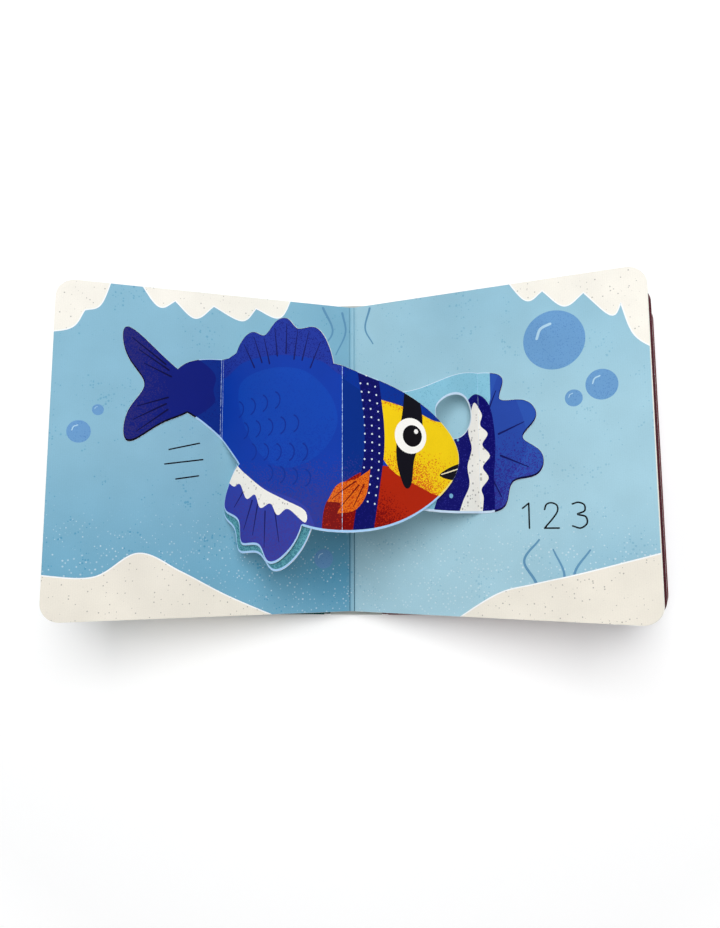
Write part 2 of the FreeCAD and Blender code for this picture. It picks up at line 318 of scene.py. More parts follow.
def reach_to_rim(flat, following):
    """For each point, its distance to the cut edge and the outward direction there."""
    keys = np.array(sorted(following))
    a, b = flat[keys], flat[[following[k] for k in keys]]
    way = b - a
    length = np.maximum((way**2).sum(axis=1), tiny**2)
    normal = right_of(way)
    distance, facing = np.empty(len(flat)), np.empty((len(flat), 2))
    for i, p in enumerate(flat):
        share = np.clip(((p - a) * way).sum(axis=1) / length, 0, 1)
        gap = ((a + way * share[:, None] - p) ** 2).sum(axis=1)
        nearest = int(gap.argmin())
        distance[i], facing[i] = math.sqrt(gap[nearest]), normal[nearest]
    return distance, facing


def thickened(flat, faces, following, edge, top, thickness):
    """Points and polygons of a blank's two faces and its cut edge, whose corners are a little rounded."""
    rank = {int(p): i for i, p in enumerate(edge)}
    before = {b: a for a, b in following.items()}
    way = np.array([flat[following[int(p)]] - flat[before[int(p)]] for p in edge])
    soft = min(edge_rounding, thickness / 5)
    face = flat.copy()
    face[edge] -= right_of(way) * soft
    count, around = len(flat), len(edge)
    heights = [top, top - thickness, top - soft, top - thickness + soft]
    rows = [face, face, flat[edge], flat[edge]]
    cloud = np.vstack([np.column_stack([row, np.full(len(row), h)]) for row, h in zip(rows, heights)])
    upper, lower = 2 * count, 2 * count + around
    polygons = [tuple(map(int, f)) for f in faces] + [tuple(count + int(i) for i in f[::-1]) for f in faces]
    for a, b in following.items():
        i, j = rank[a], rank[b]
        polygons.append((b, a, upper + i, upper + j))
        polygons.append((upper + j, upper + i, lower + i, lower + j))
        polygons.append((lower + j, lower + i, count + a, count + b))
    return cloud, polygons


def printed(colour, shape=None, grain=0.0, tint=(0, 0, 0), specks=0.0, edge=paper_core_colour, soft=0.0):
    """One field of ink, over the whole blank or within a shape. grain is the share of a tint over it,
    stippled unless soft is 1, and specks the strength of a dot screen, pale if positive and brown if
    negative: each is a number or a function of (u, v). edge is the colour of the margin beside it: a printed
    outline where it is dark, and a painted highlight where it is pale."""
    shape = None if shape is None else np.asarray(shape, float)
    colours = {"ink": ink(*colour), "grain_ink": ink(*tint), "edge_ink": ink(*edge)}
    return {"shape": shape, "grain": grain, "specks": specks, "soft": soft, **colours}


def set_values(mesh, name, kind, domain, values):
    """Writes values to a new attribute of a mesh."""
    attribute = mesh.attributes.new(name, kind, domain)
    field = {"FLOAT": "value", "FLOAT_VECTOR": "vector", "FLOAT_COLOR": "color"}[kind]
    attribute.data.foreach_set(field, np.asarray(values, np.float32).ravel())


def colour_inks(mesh, inks, flat, faces):
    """Writes the topmost ink of each printed triangle to the corners of the mesh."""
    middles, corners = flat[faces].mean(axis=1), flat[faces].reshape(-1, 2)
    chosen = np.zeros(len(faces), int)
    for i, field in enumerate(inks):
        if field["shape"] is not None:
            chosen[inside([field["shape"]], middles)] = i
    chosen = np.repeat(chosen, 3)
    total = len(mesh.loops)
    for name in ("ink", "grain_ink", "edge_ink"):
        values = np.ones((total, 4))
        values[:, :3] = inks[0][name]
        values[: len(chosen), :3] = np.array([field[name] for field in inks])[chosen]
        set_values(mesh, name, "FLOAT_COLOR", "CORNER", values)
    for name in ("grain", "specks", "soft"):
        values = np.zeros(total)
        for i, field in enumerate(inks):
            mine = np.flatnonzero(chosen == i)
            share = field[name]
            values[mine] = share(*corners[mine].T) if callable(share) else share
        set_values(mesh, name, "FLOAT", "CORNER", values)


def cut_card(name, loops, line, thickness, inks, finishes, spacing, top=0.0, rings=(), margin=None, worn=()):
    """Closed mesh of a die-cut, printed and folded card. finishes are those of its print, back and cut edge,
    inks is a list of printed(), top the height of the printed side over the line, margin the width of its
    bare margin, and worn lists (distance along it, strength) for the folds whose print has cracked."""
    loops = [np.asarray(loop, float) for loop in loops]
    creases = [u for u, _ in line[1:-1]]
    creases += [u for u, _ in worn if min(abs(u - crease) for crease in creases) > same_crease]
    flat, faces = blank(loops, [i["shape"] for i in inks if i["shape"] is not None], creases, spacing, rings)
    following = rim_of(faces)
    edge = np.array(sorted(following))
    cloud, polygons = thickened(flat, faces, following, edge, top, thickness)
    mesh = bpy.data.meshes.new(name)
    mesh.from_pydata(folded(cloud, line), [], polygons)
    for finish in finishes:
        mesh.materials.append(finish)
    sides = np.repeat([0, 1, 2], [len(faces), len(faces), 3 * len(following)])
    mesh.polygons.foreach_set("material_index", sides.astype(np.int32))
    mesh.polygons.foreach_set("use_smooth", np.ones(len(polygons), bool))
    mesh.set_sharp_from_angle(angle=math.radians(sharp_angle))
    distance, facing = reach_to_rim(flat, following)
    width = 0.0 if margin is None else margin(facing)
    wear = np.full(len(flat), unworn)
    for u, strength in worn:
        wear = np.minimum(wear, np.abs(flat[:, 0] - u) / strength)
    every = np.concatenate([np.arange(len(flat)), np.arange(len(flat)), edge, edge])
    set_values(mesh, "flat", "FLOAT_VECTOR", "POINT", cloud)
    for label, values in (("rim", distance), ("margin", distance - width), ("worn", wear)):
        set_values(mesh, label, "FLOAT", "POINT", values[every])
    colour_inks(mesh, inks, flat, faces)
    piece = bpy.data.objects.new(name, mesh)
    bpy.context.scene.collection.objects.link(piece)
    return piece


pale_dot_colour, brown_dot_colour = (226, 240, 246), (74, 68, 70)
cracked_fold_colour, bare_edge_colour = (180, 208, 240), (236, 236, 240)
pale_dot_radius, brown_dot_radius = 0.31, 0.26
screen_angle = 38


def held(tree, name, output="Fac"):
    """A value that a card's mesh carries."""
    return add(tree, "Attribute", output=output, attribute_name=name)


def dots_of(tree, where, scale, randomness):
    """Distance to the nearest dot of a screen, in cells, and each dot's own chance."""
    inputs = {"Vector": where, "Scale": scale, "Randomness": randomness}
    cells = add(tree, "TexVoronoi", inputs, output="Distance")
    own = add(tree, "SeparateColor", {0: cells.node.outputs["Color"]})
    return cells, own


def over(tree, value, limit, softness=0.05, most=1.0):
    """Where a value is over a limit, with a soft edge."""
    return ramp(tree, maths(tree, "SUBTRACT", value, limit), 0.0, softness, 0.0, most)


def screen_dots(tree, where, scale, randomness, radius, sizes):
    """Round dots of a screen. sizes is the ramp from a dot's own chance to its share of the radius."""
    spot, own = dots_of(tree, where, scale, randomness)
    return over(tree, maths(tree, "MULTIPLY", radius, ramp(tree, own, *sizes)), spot)


def stippled(tree, flat):
    """Ink of the print: each field's own, with its tint stippled or blown softly over it."""
    _, chance = dots_of(tree, flat, scale=2.3, randomness=1.0)
    grain = held(tree, "grain")
    hard = over(tree, grain, chance)
    spot, own = dots_of(tree, flat, scale=0.75, randomness=1.0)
    crowd = patches(tree, flat, scale=0.05, detail=2.0, high=0.6, spread=0.15)
    pepper = over(tree, maths(tree, "SUBTRACT", crowd, own), spot, softness=0.08, most=0.3)
    share = add(tree, "Mix", {0: held(tree, "soft"), 2: hard, 3: maths(tree, "ADD", grain, pepper)})
    return mixed(tree, share, held(tree, "ink", "Color"), held(tree, "grain_ink", "Color"))


def screened(tree, flat, colour):
    """Dot screen over the ink: a leaning grid of pale dots, or loose brown ones."""
    specks = held(tree, "specks")
    leaning = {"Vector": flat, "Angle": math.radians(screen_angle)}
    grid = add(tree, "VectorRotate", leaning, rotation_type="Z_AXIS")
    radius = maths(tree, "MULTIPLY", specks, pale_dot_radius)
    pale = screen_dots(tree, grid, 0.52, 0.5, radius, (0.1, 0.7, 0.4, 1.0))
    cover = patches(tree, flat, scale=0.2, detail=2.0, low=0.28, high=0.64, spread=0.15)
    colour = mixed(tree, maths(tree, "MULTIPLY", pale, cover), colour, ink(*pale_dot_colour))
    radius = maths(tree, "MULTIPLY", specks, -brown_dot_radius)
    brown = screen_dots(tree, flat, 0.55, 1.0, radius, (0.3, 0.9))
    return mixed(tree, maths(tree, "MULTIPLY", brown, 0.5), colour, ink(*brown_dot_colour))


def print_finish(name, roughness, coat, fibre_strength):
    """Offset print on coated board: solid inks, stippled tints, a dot screen, and rubbed folds and edges."""
    material, tree, shader = new_finish(name, roughness, coat, coat_roughness=0.3)
    flat = held(tree, "flat", "Vector")
    colour = screened(tree, flat, stippled(tree, flat))
    # Margin along the cut in each field's edge colour: bare board, a printed outline where it is dark, and a
    # painted highlight where it is pale.
    cut = ramp(tree, held(tree, "margin"), -0.08, 0.08, 1.0, 0.0)
    colour = mixed(tree, cut, colour, held(tree, "edge_ink", "Color"))
    # Tone of the board under the ink, with faint bands from the press.
    fibre = noise(tree, flat, scale=1.5, detail=3.0)
    cloud = patches(tree, flat, scale=0.04, detail=3.0, low=0.83, high=0.9)
    tone = maths(tree, "MULTIPLY", cloud, ramp(tree, fibre, 0.2, 0.8, 0.96, 1.04))
    bands = add(tree, "TexWave", {"Vector": flat, "Scale": 0.28, "Distortion": 0.6, "Detail": 1.0})
    tone = maths(tree, "MULTIPLY", tone, ramp(tree, bands, 0.0, 1.0, 0.993, 1.007))
    colour = add(tree, "VectorMath", {0: colour, "Scale": tone}, operation="SCALE")
    # Folds whose print has cracked, and cut edges that have frayed.
    rubbed = noise(tree, flat, scale=0.8, detail=4.0)
    crack = maths(tree, "ADD", held(tree, "worn"), maths(tree, "MULTIPLY", rubbed, -0.9))
    cracked = ramp(tree, crack, -0.34, -0.2, 1.0, 0.0)
    colour = mixed(tree, cracked, colour, ink(*cracked_fold_colour))
    frayed = maths(tree, "ADD", held(tree, "rim"), maths(tree, "MULTIPLY", rubbed, -0.4))
    bare = ramp(tree, frayed, -0.24, -0.18, 0.9, 0.0)
    colour = mixed(tree, bare, colour, ink(*bare_edge_colour))
    lost = maths(tree, "MULTIPLY", maths(tree, "MAXIMUM", cracked, bare), 1.5)
    paper_face(tree, shader, colour, fibre, roughness, fibre_strength, maths(tree, "SUBTRACT", fibre, lost))
    return material


def plain_card(name, colour):
    """Unprinted card: warm white with long pale and dark fibres."""
    material, tree, shader = new_finish(name, 0.75)
    fibre = noise(tree, held(tree, "flat", "Vector"), scale=0.9, detail=5.0)
    mottle = mottled(tree, ramp(tree, fibre, 0.3, 0.7), colour, darkest=0.9)
    tree.links.new(mottle, shader.inputs["Base Color"])
    bumped(tree, shader, fibre, strength=0.2)
    return material


def cut_edge(name, core, skin):
    """Die-cut edge of board: pressed plies of fibre, with the coated skin showing at both faces."""
    material, tree, shader = new_finish(name, 0.8)
    flat = held(tree, "flat", "Vector")
    stretched = add(tree, "VectorMath", {0: flat, 1: (0.5, 0.5, 9.0)}, operation="MULTIPLY")
    plies = noise(tree, stretched, scale=0.9, detail=4.0)
    colour = mottled(tree, ramp(tree, plies, 0.3, 0.7), core, darkest=0.82)
    stain = ramp(tree, noise(tree, flat, scale=0.12, detail=3.0), 0.45, 0.75, 0.0, 0.5)
    tree.links.new(mixed(tree, stain, colour, ink(*skin)), shader.inputs["Base Color"])
    bumped(tree, shader, plies, strength=0.35)
    return material


page_print = print_finish("page_print", roughness=0.46, coat=0.03, fibre_strength=0.1)
card_back = plain_card("card_back", (238, 236, 228))
page_edge = cut_edge("page_edge", core=(236, 232, 222), skin=(196, 206, 208))
sheet_finishes = (page_print, card_back, page_edge)
sheet_edge_step = 4.0
wrap_thickness = 0.3
wrap_overlap = 0.45
wrap_inset = 0.3
wrap_clearance = 0.02
groove_depth = 1.3
groove_profile = (0.0, 0.6, 1.0, 0.6, 0.0)
endpaper_dip = 0.75
endpaper_flat = 3.6
endpaper_colour = (70, 138, 168)


def strip(name, path, half_height, thickness, inks, finishes):
    """Plain rectangular strip of paper or board, folded along a path."""
    line = fold_line(path)
    last = line[-1][0]
    corners = [(0, -half_height), (last, -half_height), (last, half_height), (0, half_height)]
    loop = divided(np.array(corners, float), sheet_edge_step)
    return cut_card(name, [loop], line, thickness, inks, finishes, spacing=6.0)


def joint_strips(side, name, wrap):
    """Wrap and endpaper of one joint. side is -1 at the front cover and 1 at the back cover."""
    near, far = spine_half - wrap_overlap, cover_inner + wrap_overlap
    heights = [wrap_clearance + groove_depth * share for share in groove_profile]
    outer = [(side * x, z) for x, z in zip(np.linspace(near, far, len(heights)), heights)]
    dip, level = (strip_half + endpaper_flat + pastedown_inner) / 2, pastedown_top
    inner = [(strip_half, level), (spine_half, level), (dip, level - endpaper_dip), (pastedown_inner, level)]
    inner = [(side * x, z) for x, z in inner]
    wrap_half = case_half_height - wrap_inset
    plain, dotted = [printed((0, 0, 0))], [printed(endpaper_colour, specks=0.5)]
    outside = strip(name + "_joint_wrap", outer[::-side], wrap_half, wrap_thickness, plain, wrap)
    sheet_name = name + "_joint_endpaper"
    sheet = strip(sheet_name, inner[::side], page_half_height, sheet_thickness, dotted, sheet_finishes)
    for piece in (outside, sheet):
        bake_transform(piece)


joint_strips(-1, "front", (front_wrap,) * 3)
joint_strips(1, "back", (back_wrap,) * 3)

# ---- Pastedowns ----
# The outer halves of the first and last endpapers, glued flat inside the covers: the same board as the pages,
# printed blue with rows of small pale dots.


def endpaper_finish():
    """Blue endpaper, a little mottled, with rows of pale dots."""
    roughness = 0.5
    material, tree, shader = new_finish("endpaper", roughness, coat=0.1, coat_roughness=0.3)
    where = in_millimetres(tree)
    level = add(tree, "VectorMath", {0: where, 1: (1.0, 1.0, 0.0)}, operation="MULTIPLY")
    spot, own = dots_of(tree, level, scale=0.16, randomness=0.1)
    dot = maths(tree, "MULTIPLY", ramp(tree, spot, 0.16, 0.2, 1.0, 0.0), ramp(tree, own, 0.0, 1.0, 0.3, 0.8))
    ground = mottled(tree, patches(tree, where, scale=0.03, detail=4.0), endpaper_colour, darkest=0.85)
    colour = mixed(tree, dot, ground, ink(214, 232, 240))
    fibre = noise(tree, where, scale=1.5, detail=3.0)
    paper_face(tree, shader, colour, fibre, roughness, strength=0.1)
    return material


endpaper = endpaper_finish()
dress("front_pastedown", endpaper)
dress("back_pastedown", endpaper)

# ---- Closed spreads ----
# Five of the six spreads, each one sheet of printed board folded down the middle: neighbours are glued back
# to back into leaves, and each fold is glued to the spine as a narrow gutter band.
page_width = pastedown_high.x / MM - strip_half
page_corner_radius = 10.0
page_tilt = 21.0
open_spread = 3
leaf_clearance = 0.1
closing_gap = 0.15


def middle_of(spread):
    """Middle of a spread's gutter band."""
    return (spread - (spread_count + 1) / 2) * pitch


def leaf_side(leaf):
    """Side that a leaf lies on, -1 for the left one. Leaf k joins spread k to spread k + 1."""
    return -1 if leaf < open_spread else 1


def leaf_tilt(leaf):
    """Tilt of a leaf above level, shared out evenly from the cover up to the open page."""
    if leaf < open_spread:
        return math.radians(page_tilt * (leaf - 1) / (open_spread - 2))
    return math.radians(page_tilt * (spread_count - 1 - leaf) / (spread_count - 1 - open_spread))


def crease_heights():
    """Height of each leaf's crease. The two leaves of the open spread are level with the higher of them."""
    heights = {}
    for leaves in (range(1, open_spread), range(spread_count - 1, open_spread - 1, -1)):
        height = pastedown_top + closing_gap + leaf_thickness
        for leaf in leaves:
            if leaf != leaves[0]:
                rise = leaf_thickness / math.cos(leaf_tilt(leaf)) - pitch * math.tan(leaf_tilt(leaf))
                height += leaf_clearance + rise
            heights[leaf] = height
    open_height = max(heights[open_spread - 1], heights[open_spread])
    return {**heights, open_spread - 1: open_height, open_spread: open_height}


crease_height = crease_heights()


def leaf_faces(leaf):
    """Crease and tip, in XZ, of the upper and then the lower face of a leaf."""
    side, tilt = leaf_side(leaf), leaf_tilt(leaf)
    way = np.array([side * math.cos(tilt), math.sin(tilt)])
    up = np.array([-side * math.sin(tilt), math.cos(tilt)])
    crease = np.array([middle_of(leaf) + pitch / 2 - side * sheet_thickness, crease_height[leaf]])
    tip = crease + way * page_width
    drop = leaf_thickness * (1 / math.cos(tilt) - math.tan(tilt))
    bend = crease + np.array([side * leaf_thickness, -drop])
    return (crease, tip), (bend, tip - up * leaf_thickness)


def spread_path(spread):
    """Printed side of a closed spread, in XZ, from its left end to its right end."""
    middle = middle_of(spread)
    path = [(middle - gutter_band / 2, pastedown_top), (middle + gutter_band / 2, pastedown_top)]
    if spread > 1:
        crease, tip = leaf_faces(spread - 1)[0 if leaf_side(spread - 1) < 0 else 1]
        path = [tip, crease] + path
    if spread < spread_count:
        crease, tip = leaf_faces(spread)[0 if leaf_side(spread) > 0 else 1]
        path = path + [crease, tip]
    return path


def sheet_outline(low, high, round_low=True, round_high=True, step=1.0):
    """Page outline with rounded fore-edge corners."""
    radius = page_corner_radius
    points = []
    turns = math.ceil(radius * math.pi / 2 / step)
    for u, v, start, rounded in (
        (high, -page_half_height, -90, round_high),
        (high, page_half_height, 0, round_high),
        (low, page_half_height, 90, round_low),
        (low, -page_half_height, 180, round_low),
    ):
        if not rounded:
            points.append((u, v))
            continue
        centre = (u - math.copysign(radius, u - (low + high) / 2), v - math.copysign(radius, v))
        for i in range(turns + 1):
            angle = math.radians(start + 90 * i / turns)
            points.append((centre[0] + radius * math.cos(angle), centre[1] + radius * math.sin(angle)))
    return divided(np.array(points), sheet_edge_step)


def curve(points, sharp=(), step=1.1, closed=True):
    """Smooth line through points, with corners at the ones listed by number."""
    points = np.array(points, float)
    count = len(points)
    drawn = []
    for i in range(count if closed else count - 1):
        a, b = points[i], points[(i + 1) % count]
        ends = not closed and i == 0, not closed and i == count - 2
        first = b - a if i in sharp or ends[0] else (b - points[i - 1]) / 2
        last = b - a if (i + 1) % count in sharp or ends[1] else (points[(i + 2) % count] - a) / 2
        pieces = max(2, math.ceil(np.linalg.norm(b - a) / step))
        for t in np.arange(pieces) / pieces:
            hold = (2 * t**3 - 3 * t**2 + 1) * a + (3 * t**2 - 2 * t**3) * b
            drawn.append(hold + (t**3 - 2 * t**2 + t) * first + (t**3 - t**2) * last)
    return np.array(drawn if closed else [*drawn, points[-1]])


def disc(u, v, radius, count=None):
    """Round field. count is its number of points."""
    count = count or max(8, math.ceil(radius * 5))
    angles = np.arange(count) * 2 * math.pi / count
    return np.stack([u + radius * np.cos(angles), v + radius * np.sin(angles)], axis=1)


def stroke(points, width, taper=1.0):
    """Outline of a pen stroke along a line, with round ends. taper is its last width over its first."""
    points = np.array(points, float)
    way = np.gradient(points, axis=0)
    normal = -right_of(way)
    way /= np.linalg.norm(way, axis=1)[:, None]
    half = np.linspace(width / 2, taper * width / 2, len(points))[:, None]
    start, end = [], []
    for a in np.radians([60, 30, 0, -30, -60]):
        start.append(points[0] + half[0] * (-way[0] * math.cos(a) - normal[0] * math.sin(a)))
        end.append(points[-1] + half[-1] * (way[-1] * math.cos(a) + normal[-1] * math.sin(a)))
    return np.vstack([points + normal * half, end, (points - normal * half)[::-1], start])


def darker(colour, share):
    return tuple(int(share * part) for part in colour)


def closed_spread(spread, ground, mound):
    """One closed spread: sea colour, two sand mounds along the foot and two drifts of bubbles."""
    line = fold_line(spread_path(spread))
    end = line[-1][0]
    middle = end / 2
    outline = sheet_outline(0, end, spread > 1, spread < spread_count)
    inks = [printed(ground, None, lambda u, v: 0.2 - v / 300, darker(ground, 0.85), specks=0.4)]
    for share, peak in ((0.18, 44), (0.8, 36)):
        dune = [(-70, -95), (-30, -peak - 14), (0, -peak), (34, -peak - 22), (60, -95)]
        shape = curve([(end * share + du, v) for du, v in dune], (0, 4), 4.0)
        inks.append(printed(mound, shape, specks=0.6))
    for du, v, radius in ((-120, 40, 12), (-96, 58, 6), (88, 50, 14), (124, 34, 5), (110, 66, 8)):
        if 20 < middle + du < end - 20:
            inks.append(printed(darker(ground, 0.8), disc(middle + du, v, radius, count=20)))
    name = "spread_sheet_%d" % spread
    sheet = cut_card(name, [outline], line, sheet_thickness, inks, sheet_finishes, spacing=9.0)
    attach(sheet, "book_block")


closed_spread(1, (86, 150, 176), (236, 200, 150))
closed_spread(2, (120, 176, 190), (244, 226, 190))
closed_spread(4, (84, 36, 46), (190, 100, 92))
closed_spread(5, (66, 108, 158), (220, 206, 196))
closed_spread(6, (52, 120, 160), (238, 214, 176))

# ---- Open spread ----
# The third spread lies open. It is printed as a pale sea: sand dunes at the foot, foam hanging from the head,
# round bubbles, thin weed and a line of numerals, with a score pressed along each side of its gutter band.
# Its sea carries painted shade: over the left page, towards the gutter and in thin dark lines along the
# scores.
score_reach = 0.32
score_depth = 0.22
score_half_width, score_half_length = 0.3, 90
half_spread = gutter_band / 2 + page_width
bleed = 6
sand_colour = (243, 237, 224)
foam_colour = (249, 245, 235)
sea_colour = (170, 210, 225)
# Darker sea colour, mixed in to paint shade on the open spread.
shaded_sea_colour = (82, 155, 190)
bubble_colour = (108, 158, 206)
bubble_shade_colour = (92, 140, 196)
glint_colour = (176, 212, 234)
weed_colour = (98, 150, 186)
numeral_colour = (20, 22, 26)
numeral_size = 13
numeral_foot = -43


def scored_path():
    """Printed side of the open spread, with its two scores."""
    left_crease, left_tip = leaf_faces(open_spread - 1)[0]
    right_crease, right_tip = leaf_faces(open_spread)[0]
    path = [left_tip, left_crease, right_crease, right_tip]
    scored = [left_tip]
    for before, crease, after in zip(path, path[1:], path[2:]):
        scored += [crease + unit(before - crease) * score_reach, crease - (0, score_depth)]
        scored.append(crease + unit(after - crease) * score_reach)
    return scored + [right_tip]


def sea_inks():
    """Sea of the whole spread with its painted shade, and a thin dark rule along each score: painted shade
    for its groove, darker towards the foot.
    """

    def painted_sea_shade(u, v):
        """Share of the shaded sea colour. It paints shade over the whole left page and towards the gutter. It
        also darkens the left page towards its foot and the right page towards its head and at its lower far
        corner, and lightens the right page towards its foot.
        """
        foot = np.clip(-v / 80, 0, 1) - 0.5 * np.clip((-v - 68) / 20, 0, 1)
        head = np.clip((v - 20) / 60, 0, 1)
        left = 0.44 + 0.32 * foot + 0.24 * np.exp(-((u / 45) ** 2)) * (0.6 + 0.4 * foot)
        corner = 0.4 * np.exp(-(((u - 150) / 45) ** 2 + ((v + 80) / 40) ** 2))
        right = 0.07 + 0.22 * head * np.clip(u / 60, 0, 1) - 0.1 * np.clip(-v / 40, 0, 1) + corner
        side = np.clip((u + gutter_band) / (2 * gutter_band), 0, 1)
        return left * (1 - side) + right * side

    def screen(u, v):
        """Strength of the dot screen, which grows towards the foot."""
        return np.clip(-v / 55 - 0.15, -0.3, 0.9)

    inks = [printed(sea_colour, None, painted_sea_shade, shaded_sea_colour, screen, soft=1.0)]
    left_score, right_score = open_line[2][0], open_line[5][0]
    # Each score's rule is painted shade, in a colour that darkens towards the foot.
    for middle, colour, pressed in (
        (left_score, (110, 165, 190), (58, 118, 148)),
        (right_score, (124, 178, 202), (44, 98, 126)),
    ):
        left, right, end = middle - score_half_width, middle + score_half_width, score_half_length
        rule = divided(np.array([(left, -end), (right, -end), (right, end), (left, end)]), 3.0)
        inks.append(printed(colour, rule, lambda u, v: 0.5 - v / 120, pressed, soft=1.0))
    return inks


def weed_inks():
    """Thin weed, rising over the right dune and hanging from the head on both sides of the gutter."""
    inks = []
    for points, width in (
        ([(97, -86), (105, -73), (99, -60), (107, -49)], 1.9),
        ([(112, -84), (119, -68), (114, -54)], 1.7),
        ([(126, -80), (124, -66), (132, -54)], 1.7),
        ([(-18, 88), (-12, 74), (-20, 62)], 1.5),
        ([(-6, 86), (-4, 74), (-10, 60)], 1.4),
        ([(12, 88), (9, 76), (14, 66)], 1.4),
    ):
        inks.append(printed(weed_colour, stroke(curve(points, closed=False), width, taper=0.5)))
    return inks


def bubble_inks():
    """Round bubbles, each with a thin glint."""
    inks = []
    bubbles = ((118, 56, 16), (141, 30, 8), (127, 24, 4.5), (-150, 8, 6), (-141, 20, 3), (-17, -60, 5.5))
    for u, v, radius in bubbles:
        inks.append(printed(bubble_colour, disc(u, v, radius), 0.12, bubble_shade_colour, specks=-0.2))
        arc = [(u + du * radius, v + dv * radius) for du, dv in ((-0.55, 0.1), (-0.42, 0.42), (-0.1, 0.56))]
        glint = curve(arc, closed=False, step=0.6)
        inks.append(printed(glint_colour, stroke(glint, 0.09 * radius)))
    return inks


def shore_inks():
    """Sand and foam with brown specks, and the thin white line round each. They run off the page's edges."""
    low, high, far = -page_half_height - bleed, page_half_height + bleed, half_spread + bleed
    left_dune = [(-far, low), (-far, -66), (-140, -68), (-118, -56), (-96, -66), (-70, -80), (-34, low)]
    right_dune = [(56, low), (84, -78), (104, -72), (128, -66), (far, -54), (far, low)]
    foam = [(-124, high), (-112, 80), (-103, 84), (-92, 75), (-82, 83), (-66, 76), (-58, 84), (-44, 80)]
    foam += [(-36, high)]
    wave = [(92, high), (104, 80), (113, 84), (124, 74), (134, 80), (147, 66), (152, 72), (158, 54)]
    wave += [(far, 44), (far, high)]
    corner = [(-far, 60), (-156, 64), (-150, 74), (-142, 78), (-136, high), (-far, high)]
    inks = []
    for points, sharp, colour in (
        (left_dune, (0, 1, 6), sand_colour),
        (right_dune, (0, 4, 5), sand_colour),
        (foam, (0, 2, 4, 6, 8), foam_colour),
        (wave, (0, 2, 4, 6, 8, 9), foam_colour),
        (corner, (0, 2, 4, 5), foam_colour),
    ):
        outline = curve(points, sharp)
        inks.append(printed((255, 255, 255), stroke(np.vstack([outline, outline[:1]]), 1.3)))
        inks.append(printed(colour, outline, specks=-0.9))
    return inks


def pen_inks():
    """Three short dashes beside the tail, and numerals in one thin even line, each drawn in a unit box."""
    inks = []
    for ends in ([(-104, 0), (-88, 4)], [(-106, -8), (-86, -5)], [(-100, -16), (-88, -14)]):
        inks.append(printed((26, 26, 34), stroke(np.linspace(*np.array(ends, float), 6), 0.8)))
    one = [[(0.0, 0.8), (0.25, 1.0)], [(0.25, 1.0), (0.25, 0.0)]]
    two = [[(0.02, 0.74), (0.1, 0.94), (0.3, 1.0), (0.5, 0.9), (0.52, 0.68), (0.36, 0.42), (0.0, 0.0)]]
    two.append([(0.0, 0.0), (0.56, 0.0)])
    three = [[(0.02, 0.94), (0.24, 1.0), (0.46, 0.9), (0.46, 0.66), (0.2, 0.54)]]
    three[0] += [(0.5, 0.44), (0.54, 0.18), (0.3, 0.0), (0.0, 0.08)]
    for u, strokes in ((99, one), (110, two), (124, three)):
        for points in strokes:
            points = np.array(points, float) * numeral_size + (u, numeral_foot)
            line = curve(points, closed=False, step=0.5) if len(points) > 2 else points
            inks.append(printed(numeral_colour, stroke(line, 0.85)))
    return inks


open_line = fold_line(scored_path(), start=-half_spread)
open_outline = sheet_outline(-half_spread, half_spread, step=0.6)
open_inks = sea_inks() + weed_inks() + bubble_inks() + shore_inks() + pen_inks()
open_sheet = cut_card(
    "spread_sheet_3", [open_outline], open_line, sheet_thickness, open_inks, sheet_finishes,
    spacing=3.0, rings=(0.5, 1.5),
)
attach(open_sheet, "book_block")
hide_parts("page_block")

# ---- Folded pop-ups ----
# Plain ridges of thin card, one in each of three closed spreads, folded nearly flat between two leaves and
# glued down by their tabs. Only their ends show, from the head and the foot of the book.


def folded_finish(name, ground, stripe):
    """Coated card printed with soft wavy bars across the ridge."""
    roughness = 0.46
    material, tree, shader = new_finish(name, roughness, coat=0.12, coat_roughness=0.3)
    where = in_millimetres(tree)
    waves = {"Vector": where, "Scale": 0.035, "Distortion": 3.0, "Detail": 1.0}
    bars = add(tree, "TexWave", waves, bands_direction="Y")
    fibre = noise(tree, where, scale=1.5, detail=3.0)
    share = ramp(tree, maths(tree, "ADD", bars, maths(tree, "MULTIPLY", fibre, 0.3)), 0.62, 0.68)
    colour = mixed(tree, share, ink(*ground), ink(*stripe))
    paper_face(tree, shader, colour, fibre, roughness, strength=0.1)
    return material


for spread, ground, stripe in (
    (2, (222, 120, 60), (244, 196, 120)),
    (4, (64, 140, 120), (170, 212, 170)),
    (5, (190, 70, 84), (238, 168, 150)),
):
    finish = folded_finish("folded_print_%d" % spread, ground, stripe)
    dress("folded_popup_%d" % spread, finish)

# ---- Under card ----
# The card behind the fish: a tab glued to the left page and one lobed panel that follows close under the
# body. Like the fish and the reef it is thinner than the pages, die cut, scored and printed on one side.
card_thickness = 0.4
glue_line = 0.05
card_lift = glue_line + card_thickness / 2
glue_fold = 74.8
figure_panel = 83.0
under_inset = 1.6
under_tab, under_panel = 28.0, 80.0
fold_radius = 0.7
card_edge_step = 1.5
outline_digits = 2
fold_reach = 0.5
level_reach = 0.02
# Pale blue of the standing cards' cut-edge margin, a painted highlight.
lit_margin_blue = (168, 208, 246)
figure_print = print_finish("figure_print", roughness=0.4, coat=0.03, fibre_strength=0.12)
figure_edge = cut_edge("figure_edge", core=(238, 238, 240), skin=(176, 206, 234))
figure_finishes = (figure_print, card_back, figure_edge)


def leaf_way(leaf):
    """Unit vector in XZ along a leaf, away from the gutter."""
    crease, tip = leaf_faces(leaf)[0]
    return unit(tip - crease)


def page_place(leaf, distance):
    """Place in XZ of the middle of a card lying on an open page, at a distance from the crease."""
    crease, way = leaf_faces(leaf)[0][0], leaf_way(leaf)
    up = leaf_side(leaf) * np.array([-way[1], way[0]])
    return crease + way * distance + up * card_lift


